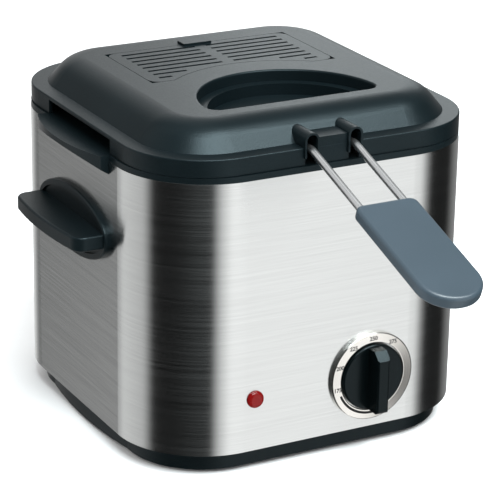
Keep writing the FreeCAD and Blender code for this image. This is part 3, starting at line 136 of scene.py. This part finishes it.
@dataclass(frozen=True)
class Finish:
    """One surface finish: what the thing is made of and how its surface was made.

    Attributes:
        name: Name of the material.
        slot: Slot of the record that the finish belongs to.
        colour: Main sRGB colour.
        tint: Second sRGB colour that drifts over the main one.
        metallic: One for bare metal, zero for anything else.
        roughness: Middle of the roughness range.
        spread: How far the roughness strays from its middle.
        grain: Pattern of the surface.
        size: Size of the pattern's grain in millimetres.
        depth: Depth of the pattern in millimetres.
        patch: Size of the slow colour drift in millimetres.
        specular: Specular level of the shader.
        coat: Weight of a clear gloss over the surface.
        stretch: How far tool lines draw a highlight out across them.
        sheen: sRGB tint of the highlights.
        cone: How steeply a turned face falls away from its middle, in degrees.
    """

    name: str
    slot: str
    colour: str
    tint: str
    metallic: float = 0.0
    roughness: float = 0.5
    spread: float = 0.06
    grain: Grain = Grain.PLAIN
    size: float = 0.6
    depth: float = 0.02
    patch: float = 40.0
    specular: float = 0.5
    coat: float = 0.0
    stretch: float = 0.0
    sheen: str = "ffffff"
    cone: float = 0.0

    def make(self) -> bpy.types.Material:
        """Build the material's node tree.

        Returns:
            The finished material.
        """
        material = bpy.data.materials.new(self.name)
        material.use_nodes = True
        material.node_tree.nodes.clear()
        place = add(material, "ShaderNodeTexCoord").outputs["Object"]
        pattern = self.pattern(material, place)
        drift = add(material, "ShaderNodeTexNoise", {"Scale": per_mm(self.patch), "Detail": 3.0},
                    {"Vector": place})
        # on brushed metal the scratches are paler and darker, elsewhere the colour drifts slowly
        shade = pattern if self.grain is Grain.BRUSH else drift.outputs["Fac"]
        colour = add(material, "ShaderNodeMix",
                     {"data_type": "RGBA", 6: linear(self.colour), 7: linear(self.tint)}, {0: shade})
        rough = add(material, "ShaderNodeMapRange",
                    {"To Min": self.roughness - self.spread,
                     "To Max": self.roughness + self.spread},
                    {"Value": pattern})
        bump = add(material, "ShaderNodeBump", {"Strength": 1.0, "Distance": self.depth * MM},
                   {"Height": pattern})
        if self.cone:
            slope = add(material, "ShaderNodeBump",
                        {"invert": True, "Distance": tan(radians(self.cone))},
                        {"Height": self.reach(material, place)})
            material.node_tree.links.new(slope.outputs["Normal"], bump.inputs["Normal"])
        shader = add(material, "ShaderNodeBsdfPrincipled",
                     {"Metallic": self.metallic, "Specular IOR Level": self.specular,
                      "Coat Weight": self.coat, "Coat Roughness": COAT_ROUGHNESS,
                      "Specular Tint": linear(self.sheen)},
                     {"Base Color": colour.outputs[2], "Roughness": rough.outputs["Result"],
                      "Normal": bump.outputs["Normal"]})
        if self.stretch:
            # the lines run round the upright axis, or round the dial's own axis on a turned ring
            axis = "Y" if self.grain is Grain.TURNED else "Z"
            around = add(material, "ShaderNodeTangent", {"direction_type": "RADIAL", "axis": axis})
            material.node_tree.links.new(around.outputs["Tangent"], shader.inputs["Tangent"])
            shader.inputs["Anisotropic"].default_value = self.stretch
            shader.inputs["Anisotropic Rotation"].default_value = QUARTER_TURN
        add(material, "ShaderNodeOutputMaterial", links={"Surface": shader.outputs["BSDF"]})
        return material

    def reach(self, material: bpy.types.Material,
              place: bpy.types.NodeSocket) -> bpy.types.NodeSocket:
        """Add the nodes that measure how far a point lies from the dial's axis.

        Args:
            material: Material that gets the nodes.
            place: Socket with the object's coordinates.

        Returns:
            Socket with the distance in metres.
        """
        low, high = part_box("dial_ring")
        hub = (low + high) / 2
        centred = add(material, "ShaderNodeMapping",
                      {"Location": (-hub.x, 0.0, -hub.z), "Scale": (1.0, 0.0, 1.0)}, {"Vector": place})
        return add(material, "ShaderNodeVectorMath", {"operation": "LENGTH"},
                   {0: centred.outputs["Vector"]}).outputs["Value"]

    def pattern(self, material: bpy.types.Material,
                place: bpy.types.NodeSocket) -> bpy.types.NodeSocket:
        """Add the nodes of the surface pattern.

        Args:
            material: Material that gets the nodes.
            place: Socket with the coordinates to draw the pattern on.

        Returns:
            Socket with the pattern's height, from zero to one.
        """
        if self.grain is Grain.BRUSH:
            # the belt ran level round the housing: long level lines, fine from line to line
            lines = add(material, "ShaderNodeMapping", {"Scale": (BRUSH_SQUASH, BRUSH_SQUASH, 1.0)},
                        {"Vector": place})
            return add(material, "ShaderNodeTexNoise",
                       {"Scale": per_mm(self.size), "Detail": 5.0, "Roughness": 0.7},
                       {"Vector": lines.outputs["Vector"]}).outputs["Fac"]
        if self.grain is Grain.TURNED:
            # fine rings left by the tool, drawn as coarse as they need to be to show
            return add(material, "ShaderNodeTexNoise",
                       {"noise_dimensions": "1D", "Scale": per_mm(self.size), "Detail": 4.0},
                       {"W": self.reach(material, place)}).outputs["Fac"]
        detail = {Grain.SPARK: 2.0, Grain.PLATED: 1.0, Grain.ROLLED: 4.0, Grain.PLAIN: 2.0}[self.grain]
        return add(material, "ShaderNodeTexNoise", {"Scale": per_mm(self.size), "Detail": detail},
                   {"Vector": place}).outputs["Fac"]


# Polypropylene from a spark-eroded tool: a dull, faintly green black that greys where light grazes
BLACK_PLASTIC = Finish("polypropylene_moulded", "black_plastic", "070e10", "0d1518", roughness=0.37,
                       grain=Grain.SPARK, size=0.9, depth=0.06, specular=0.22, sheen="dcf2f9")
# ABS from a polished tool: smoother and darker than the lid
KNOB_PLASTIC = Finish("abs_moulded", "knob_plastic", "020506", "060b0c", roughness=0.25,
                      grain=Grain.SPARK, size=0.5, depth=0.012, specular=0.2, sheen="dcf2f9")
# Phenolic grip: slate grey, satin, evenly lit from edge to edge
GRIP_PLASTIC = Finish("phenolic_moulded", "grip_plastic", "2c3840", "35414a", roughness=0.38,
                      grain=Grain.SPARK, size=0.8, depth=0.025)
RUBBER = Finish("nitrile_rubber_moulded", "rubber", "0d0d0d", "171717", roughness=0.8,
                grain=Grain.SPARK, size=0.9, depth=0.05, specular=0.3)
GLAND_RUBBER = Finish("pvc_moulded", "gland_rubber", "101112", "18191a", roughness=0.6,
                      grain=Grain.SPARK, size=0.8, depth=0.03)
# Stainless steel drawn past an abrasive belt: level hairlines that stretch each highlight upright
BRUSHED_STEEL = Finish("stainless_steel_brushed", "brushed_steel", "cdcfce", "e8eae9", metallic=1.0,
                       roughness=0.23, spread=0.09, grain=Grain.BRUSH, size=0.9, depth=0.004,
                       patch=70.0, stretch=0.75)
SCREW_STEEL = Finish("steel_zinc_plated", "screw_steel", "a9abad", "bcbdbd", metallic=1.0,
                     roughness=0.3, grain=Grain.ROLLED, size=2.0, depth=0.01)
COATED_POT = Finish("aluminium_nonstick_coated", "coated_pot", "141416", "1d1d20", roughness=0.45,
                    grain=Grain.SPARK, size=1.0, depth=0.02)
ELEMENT_STEEL = Finish("steel_heat_darkened", "element_steel", "4c4845", "5f564f", metallic=1.0,
                       roughness=0.5, grain=Grain.ROLLED, size=3.0, depth=0.02)
SHIELD_SHEET = Finish("aluminium_sheet_rolled", "shield_sheet", "b9babb", "c6c6c6", metallic=1.0,
                      roughness=0.4, grain=Grain.ROLLED, size=4.0, depth=0.01)
BAFFLE_SHEET = Finish("aluminium_sheet_pressed", "baffle_sheet", "c3c4c5", "d0d0d0", metallic=1.0,
                      roughness=0.34, grain=Grain.ROLLED, size=4.0, depth=0.01)
TERMINAL_PLASTIC = Finish("nylon_moulded", "terminal_plastic", "d9d4c4", "e2ddce", roughness=0.5,
                          grain=Grain.SPARK)
# Aluminium ring faced on a lathe: its rings fan each highlight out from the middle
TURNED_RING = Finish("aluminium_lathe_turned", "chrome", "ebe8e2", "f3f1ec", metallic=1.0,
                     roughness=0.22, spread=0.04, grain=Grain.TURNED, size=0.8, depth=0.003,
                     stretch=0.5, cone=11.0)
# Needled felt charged with charcoal: dark and fluffy, with no shine
FELT = Finish("charcoal_felt_needled", "filter_felt", "24211e", "35312c", roughness=0.95,
              grain=Grain.ROLLED, size=1.2, depth=0.25, specular=0.2)
BASKET_WIRE = Finish("steel_wire_nickel_plated", "basket_wire", "dcdedf", "eaebeb", metallic=1.0,
                     roughness=0.3, spread=0.04, grain=Grain.PLATED, size=8.0, depth=0.006)
# Clear red polycarbonate: a dark wet red with one sharp highlight
RED_LENS = Finish("polycarbonate_red_moulded", "red_lens", "5c0707", "6c0b0b", roughness=0.16,
                  spread=0.03, grain=Grain.PLAIN, size=3.0, depth=0.004, specular=0.2, coat=0.1)
# Pad-printed ink: a thin dull black film
DIAL_INK = Finish("ink_pad_printed", "chrome", "141414", "1c1c1c", roughness=0.6, size=0.4,
                  depth=0.002, specular=0.3)
FINISHES = (BLACK_PLASTIC, KNOB_PLASTIC, GRIP_PLASTIC, RUBBER, GLAND_RUBBER, BRUSHED_STEEL,
            SCREW_STEEL, COATED_POT, ELEMENT_STEEL, SHIELD_SHEET, BAFFLE_SHEET, TERMINAL_PLASTIC,
            TURNED_RING, FELT, BASKET_WIRE, RED_LENS)


# Studio -----------------------------------------------------------------------------------------

@dataclass
class Studio:
    """Floor, lights, camera and the room that the steel reflects.

    Attributes:
        azimuth: Direction that the camera looks from, in degrees round from the front.
        elevation: Height of the camera above the horizon, in degrees.
        roll: Lean of the camera, in degrees.
        distance: From the camera to its aim, in metres.
        lens: Focal length in millimetres on a 36 mm sensor.
        aim: Point in the middle of the view, from the middle of the housing's floor.
        fill: Strength of the room's light.
        dark: Shade of the flat where the ring of flats starts and ends, due left.
        flats: Where each shade stands round the ring, in turns from due left by the front, and the
            shade itself.
    """

    azimuth: float = -28.56
    elevation: float = 20.6
    roll: float = 1.0
    distance: float = 1.46926
    lens: float = 171.7
    aim: tuple[float, float, float] = (0.0015, -0.0107, 0.0969)
    fill: float = 0.95
    dark: float = 0.001
    flats: tuple[tuple[float, float], ...] = (
        (0.05, 0.001), (0.208, 0.001), (0.240, 0.70), (0.275, 1.18), (0.334, 1.18), (0.370, 1.00),
        (0.392, 0.35), (0.414, 0.004), (0.515, 0.006), (0.565, 0.22), (0.60, 0.26), (0.645, 0.50),
        (0.672, 1.10), (0.74, 0.80), (0.80, 0.12), (0.822, 0.24), (0.834, 0.55), (0.856, 0.80),
        (0.962, 0.60), (1.0, 0.004))

    def build(self, middle: Vector) -> None:
        """Make the camera, the lights, the floor and the world.

        Args:
            middle: Middle of the housing on the floor.
        """
        self.camera(middle)
        self.floor()
        self.world()
        self.lights(middle)

    def camera(self, middle: Vector) -> None:
        """Put the camera where it sees the front and the left side from above.

        Args:
            middle: Middle of the housing on the floor.
        """
        turn = radians(self.azimuth)
        rise = radians(self.elevation)
        back = Vector((sin(turn) * cos(rise), -cos(turn) * cos(rise), sin(rise)))
        right = Vector((0, 0, 1)).cross(back).normalized()
        up = back.cross(right)
        lean = radians(self.roll)
        right_leaned = right * cos(lean) + up * sin(lean)
        up_leaned = up * cos(lean) - right * sin(lean)
        camera = bpy.data.objects.new("camera", bpy.data.cameras.new("camera"))
        camera.data.lens = self.lens
        camera.data.sensor_width = SENSOR_WIDTH
        camera.data.clip_start = NEAR_CLIP
        camera.data.clip_end = FAR_CLIP
        facing = Matrix((right_leaned, up_leaned, back)).transposed().to_4x4()
        spot = middle + Vector(self.aim) + back * self.distance
        camera.matrix_world = Matrix.Translation(spot) @ facing
        bpy.context.scene.collection.objects.link(camera)
        bpy.context.scene.camera = camera

    def floor(self) -> None:
        """Lay a plain pale floor."""
        mesh = bmesh.new()
        bmesh.ops.create_grid(mesh, x_segments=1, y_segments=1, size=FLOOR_HALF)
        floor = save(mesh, "floor")
        finish = Finish("floor_paper", "", "f6f6f6", "ffffff", roughness=0.9, size=3.0, depth=0.0,
                        specular=0.1)
        floor.data.materials.append(finish.make())
        floor.visible_glossy = False

    def world(self) -> None:
        """Surround the object with a white room, reflected as a ring of pale and dark flats."""
        world = bpy.data.worlds.new("studio")
        world.use_nodes = True
        world.node_tree.nodes.clear()
        place = add(world, "ShaderNodeTexCoord").outputs["Generated"]
        turn = add(world, "ShaderNodeTexGradient", {"gradient_type": "RADIAL"}, {"Vector": place})
        flats = add(world, "ShaderNodeValToRGB", links={"Fac": turn.outputs["Fac"]})
        ramp = flats.color_ramp.elements
        while len(ramp) > 1:
            ramp.remove(ramp[-1])
        ramp[0].position = 0.0
        ramp[0].color = (self.dark, self.dark, self.dark, 1.0)
        for where, shade in self.flats:
            stop = ramp.new(where)
            stop.color = (shade, shade, shade, 1.0)
        glossy = add(world, "ShaderNodeLightPath").outputs["Is Glossy Ray"]
        room = add(world, "ShaderNodeMix", {"data_type": "RGBA", 6: (1.0, 1.0, 1.0, 1.0)},
                   {0: glossy, 7: flats.outputs["Color"]})
        light = add(world, "ShaderNodeBackground", {"Strength": self.fill}, {"Color": room.outputs[2]})
        add(world, "ShaderNodeOutputWorld", links={"Surface": light.outputs["Background"]})
        bpy.context.scene.world = world
        bpy.context.scene.view_settings.view_transform = "Standard"

    def lights(self, middle: Vector) -> None:
        """Hang one soft box over the front and a weak one behind the right side.

        Args:
            middle: Middle of the housing on the floor.
        """
        boxes = (("key", 56.0, (0.10, -0.78, 1.48), 1.6, 0.50),
                 ("rear", 2.4, (1.05, 1.35, 0.75), 0.7, 0.5))
        for name, power, place, width, height in boxes:
            light = bpy.data.lights.new(name, "AREA")
            light.shape = "RECTANGLE"
            light.size = width
            light.size_y = height
            light.energy = power
            light.color = LIGHT_COLOUR
            lamp = bpy.data.objects.new(name, light)
            lamp.location = middle + Vector(place)
            lamp.rotation_mode = "QUATERNION"
            aim = middle + Vector((0, 0, LIGHT_AIM_HEIGHT))
            lamp.rotation_quaternion = (aim - lamp.location).to_track_quat("-Z", "Y")
            bpy.context.scene.collection.objects.link(lamp)


def save(mesh: bmesh.types.BMesh, name: str) -> bpy.types.Object:
    """Turn a bmesh into an object at the origin.

    Args:
        mesh: Finished bmesh, freed here.
        name: Name of the object and of its mesh.

    Returns:
        The new object, linked into the scene.
    """
    data = bpy.data.meshes.new(name)
    mesh.to_mesh(data)
    mesh.free()
    data.update()
    thing = bpy.data.objects.new(name, data)
    bpy.context.scene.collection.objects.link(thing)
    return thing


# Sub-assemblies ---------------------------------------------------------------------------------

@dataclass
class Assembly:
    """Pieces that ride on one CAD body.

    Attributes:
        body: Name of the CAD body.
        made: Finished materials by record slot.
    """

    body: str
    made: dict[str, bpy.types.Material]

    def dress(self) -> None:
        """Give each CAD node of the body the finish of its slot."""
        slots = {part["node"]: part["material_slot"] for part in frame["record"]["subparts"]}
        for name in frame["record"]["behaviour"]["bodies"][self.body]:
            node = frame["nodes"][name]
            node.data.materials.clear()
            node.data.materials.append(self.made[slots[name]])
            LOG.info("%s gets %s", name, slots[name])

    def build(self) -> None:
        """Make the pieces that the CAD model leaves to this file."""

    def keep(self, piece: bpy.types.Object, slot: str, material: bpy.types.Material) -> None:
        """Dress a new piece and put it on the body.

        Args:
            piece: The new piece.
            slot: Record slot that its finish belongs to; not used.
            material: Its material.
        """
        piece.data.materials.append(material)
        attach(piece, self.body)
        LOG.info("%s rides on %s, %d faces", piece.name, self.body, len(piece.data.polygons))


@dataclass
class Housing(Assembly):
    """Steel body with its dial scale.

    Attributes:
        step: Angle from one number of the scale to the next, in degrees.
        numbers: Numbers of the scale, the first of them on the left.
        top: Which number stands at the top of the ring.
        figure: Size of the figures' type in millimetres.
        bold: How far the figures' outlines are swelled, in millimetres.
        film: Thickness of the ink in millimetres.
        arc_width: Width of the printed arc in millimetres.
        arc_in: From the ring's middle line to the arc's, inwards, in millimetres.
        arc_start: Where the arc starts, in degrees anticlockwise from the top.
        arc_sweep: How far the arc goes on round, in degrees.
        arc_steps: Facets along the arc.
    """

    step: float = 34.0
    numbers: tuple[str, ...] = ("175", "200", "225", "250", "275")
    top: int = 3
    figure: float = 3.6
    bold: float = 0.09
    film: float = 0.04
    arc_width: float = 1.5
    arc_in: float = 0.9
    arc_start: float = 113.0
    arc_sweep: float = 72.0
    arc_steps: int = 24

    def build(self) -> None:
        """Print the dial's numbers and its arc on the front of the ring."""
        low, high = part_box("dial_ring")
        knob_low, knob_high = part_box("knob")
        hub = Vector(((low.x + high.x) / 2, low.y, (low.z + high.z) / 2))
        outer = (high.x - low.x) / 2
        inner = (knob_high.x - knob_low.x) / 2
        middle = (outer + inner) / 2
        ink = DIAL_INK.make()
        for place, number in enumerate(self.numbers):
            turn = radians((place - self.top) * self.step)
            spot = hub + Vector((sin(turn), 0, cos(turn))) * middle
            self.keep(self.figures(number, spot), "chrome", ink)
        self.keep(self.arc(hub, middle - self.arc_in * MM), "chrome", ink)

    def figures(self, number: str, spot: Vector) -> bpy.types.Object:
        """Print one upright number.

        Args:
            number: Text of the number.
            spot: Middle of the number on the ring's face.

        Returns:
            The number's object.
        """
        text = bpy.data.curves.new(f"figures_{number}", "FONT")
        text.body = number
        text.size = self.figure * MM
        text.align_x = "CENTER"
        text.align_y = "CENTER"
        text.offset = self.bold * MM
        text.extrude = self.film * MM
        holder = bpy.data.objects.new(f"holder_{number}", text)
        data = bpy.data.meshes.new_from_object(holder)
        bpy.data.objects.remove(holder)
        data.name = f"dial_number_{number}"
        data.transform(Matrix.Translation(spot) @ Matrix.Rotation(pi / 2, 4, "X"))
        piece = bpy.data.objects.new(data.name, data)
        bpy.context.scene.collection.objects.link(piece)
        return piece

    def arc(self, hub: Vector, radius: float) -> bpy.types.Object:
        """Print the arc that runs on from the lowest number.

        Args:
            hub: Middle of the ring's face.
            radius: Radius of the arc's middle line, in metres.

        Returns:
            The arc's object.
        """
        mesh = bmesh.new()
        start = Matrix.Rotation(-radians(self.arc_start), 4, "Y")
        half = self.arc_width * MM / 2
        ends = [mesh.verts.new(hub + start @ Vector((0, -self.film * MM, reach)))
                for reach in (radius - half, radius + half)]
        edge = mesh.edges.new(ends)
        bmesh.ops.spin(mesh, geom=[*ends, edge], cent=hub, axis=(0, 1, 0),
                       angle=-radians(self.arc_sweep), steps=self.arc_steps)
        bmesh.ops.solidify(mesh, geom=mesh.faces[:], thickness=self.film * MM)
        bmesh.ops.recalc_face_normals(mesh, faces=mesh.faces[:])
        return save(mesh, "dial_arc")


@dataclass
class Basket(Assembly):
    """Wire basket whose mesh takes the place of the CAD tub.

    Attributes:
        gauge: Diameter of the mesh's wires in millimetres.
        pitch: From one wire to the next, in millimetres.
        corner: Radius of the basket's upright corners in millimetres.
        bend: Radius where a wall turns into the bottom, in millimetres.
        sides: Sides of a wire's section.
        facet: Angle that one facet of a bend turns through, in degrees.
    """

    gauge: float = 1.0
    pitch: float = 5.0
    corner: float = 30.0
    bend: float = 10.0
    sides: int = 5
    facet: float = 22.5

    def build(self) -> None:
        """Weave the tub from level rings and from uprights that cross the bottom."""
        low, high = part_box("basket_mesh")
        mesh = bmesh.new()
        self.rings(mesh, low, high)
        self.crossings(mesh, low, high)
        self.corners(mesh, low, high)
        bmesh.ops.recalc_face_normals(mesh, faces=mesh.faces[:])
        piece = save(mesh, "basket_weave")
        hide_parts("basket_mesh")
        self.keep(piece, "basket_wire", self.made["basket_wire"])

    def run(self, mesh: bmesh.types.BMesh, start: Vector, heading: Vector,
            moves: list[tuple[float, float, Vector | None]], closed: bool = False) -> None:
        """Draw one wire out along straight runs and bends.

        Args:
            mesh: Mesh that gets the wire.
            start: Middle of the wire's first end.
            heading: Way the wire sets off.
            moves: Length of a run, or radius of a bend, with the bend's angle and the way it turns
                towards.
            closed: Whether the wire's ends meet.
        """
        place = Matrix.Translation(start) @ heading.to_track_quat("Z", "Y").to_matrix().to_4x4()
        ring = bmesh.ops.create_circle(mesh, cap_ends=False, radius=self.gauge * MM / 2,
                                       segments=self.sides, matrix=place)["verts"]
        edges = list({edge for corner in ring for edge in corner.link_edges})
        ends = [list(edges)]
        made = [*ring, *edges]
        point = start.copy()
        for size, angle, towards in moves:
            if towards is None:
                grown = bmesh.ops.spin(mesh, geom=made, cent=point, axis=(0, 0, 1),
                                       dvec=heading * size, angle=0.0, steps=1)
                point = point + heading * size
            else:
                centre = point + towards * size
                axis = (heading.cross(towards)).normalized()
                steps = max(3, round(angle / radians(self.facet)))
                grown = bmesh.ops.spin(mesh, geom=made, cent=centre, axis=axis, angle=angle,
                                       steps=steps)
                turned = Matrix.Rotation(angle, 3, axis)
                point = centre + turned @ (point - centre)
                heading = turned @ heading
            made = grown["geom_last"]
        ends.append([item for item in made if isinstance(item, bmesh.types.BMEdge)])
        if closed:
            meeting = {corner for end in ends for edge in end for corner in edge.verts}
            bmesh.ops.remove_doubles(mesh, verts=list(meeting), dist=self.gauge * MM / 50)
            return
        for end in ends:
            bmesh.ops.holes_fill(mesh, edges=end, sides=self.sides)

    def rings(self, mesh: bmesh.types.BMesh, low: Vector, high: Vector) -> None:
        """Lay level rings round the walls.

        Args:
            mesh: Mesh that gets the wires.
            low: Lowest corner of the CAD tub's box.
            high: Highest corner of the CAD tub's box.
        """
        inset = self.gauge * MM / 2
        radius = self.corner * MM - inset
        across = (high.x - low.x) / 2 - self.corner * MM
        along = (high.y - low.y) / 2 - self.corner * MM
        middle = (low + high) / 2
        level = low.z + self.bend * MM
        count = int((high.z - inset - level) / (self.pitch * MM)) + 1
        for row in range(count):
            start = Vector((middle.x - across, low.y + inset, level + row * self.pitch * MM))
            heading = Vector((1, 0, 0))
            moves = []
            for length in (2 * across, 2 * along, 2 * across, 2 * along):
                moves.append((length, 0.0, None))
                moves.append((radius, pi / 2, Matrix.Rotation(pi / 2, 3, "Z") @ heading))
                heading = Matrix.Rotation(pi / 2, 3, "Z") @ heading
            self.run(mesh, start, Vector((1, 0, 0)), moves, closed=True)

    def crossings(self, mesh: bmesh.types.BMesh, low: Vector, high: Vector) -> None:
        """Run wires down one wall, across the bottom and up the opposite wall, both ways.

        Args:
            mesh: Mesh that gets the wires.
            low: Lowest corner of the CAD tub's box.
            high: Highest corner of the CAD tub's box.
        """
        gauge = self.gauge * MM
        middle = (low + high) / 2
        across = (high.x - low.x) / 2
        along = (high.y - low.y) / 2
        # the wires of one way lie on the floor, the others one gauge higher
        ways = ((Vector((1, 0, 0)), Vector((0, 1, 0)), across, along, 0.5),
                (Vector((0, 1, 0)), Vector((1, 0, 0)), along, across, 1.5))
        for way, aside, half, other, lift in ways:
            reach = half - 1.5 * gauge
            floor = low.z + lift * gauge
            turn = self.bend * MM
            width = other - self.corner * MM
            count = int(width / (self.pitch * MM))
            drop = high.z - gauge - floor - turn
            for row in range(-count, count + 1):
                base = Vector((middle.x, middle.y, 0)) + aside * (row * self.pitch * MM)
                start = base - way * reach + Vector((0, 0, high.z - gauge))
                moves = [(drop, 0.0, None), (turn, pi / 2, way), (2 * (reach - turn), 0.0, None),
                         (turn, pi / 2, Vector((0, 0, 1))), (drop, 0.0, None)]
                self.run(mesh, start, Vector((0, 0, -1)), moves)

    def corners(self, mesh: bmesh.types.BMesh, low: Vector, high: Vector) -> None:
        """Run wires down the four rounded corners and in towards the corner's middle.

        Args:
            mesh: Mesh that gets the wires.
            low: Lowest corner of the CAD tub's box.
            high: Highest corner of the CAD tub's box.
        """
        gauge = self.gauge * MM
        reach = self.corner * MM - 1.5 * gauge
        turn = self.bend * MM
        floor = low.z + 2.5 * gauge
        count = int(reach * pi / 2 / (self.pitch * MM))
        places = [(x, y) for x in (low.x + self.corner * MM, high.x - self.corner * MM)
                  for y in (low.y + self.corner * MM, high.y - self.corner * MM)]
        middle = (low + high) / 2
        for x, y in places:
            first = {(True, True): 0.0, (False, True): pi / 2, (False, False): pi,
                     (True, False): 1.5 * pi}
            base = first[(x > middle.x, y > middle.y)]
            for row in range(1, count):
                angle = base + pi / 2 * row / count
                out = Vector((cos(angle), sin(angle), 0))
                start = Vector((x, y, high.z - gauge)) + out * reach
                moves = [(high.z - gauge - floor - turn, 0.0, None), (turn, pi / 2, -out),
                         (reach - turn - 3 * gauge, 0.0, None)]
                self.run(mesh, start, Vector((0, 0, -1)), moves)


def main() -> None:
    """Dress and complete each sub-assembly, then build the studio round it."""
    logging.basicConfig(level=logging.INFO)
    made = {finish.slot: finish.make() for finish in FINISHES}
    for assembly in (Housing("housing", made), Assembly("dial", made), Assembly("lid", made),
                     Assembly("vent_cover", made), Basket("basket", made)):
        assembly.dress()
        assembly.build()
    low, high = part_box("outer_shell")
    Studio().build(Vector(((low.x + high.x) / 2, (low.y + high.y) / 2, 0.0)))


if __name__ == "__main__":
    main()
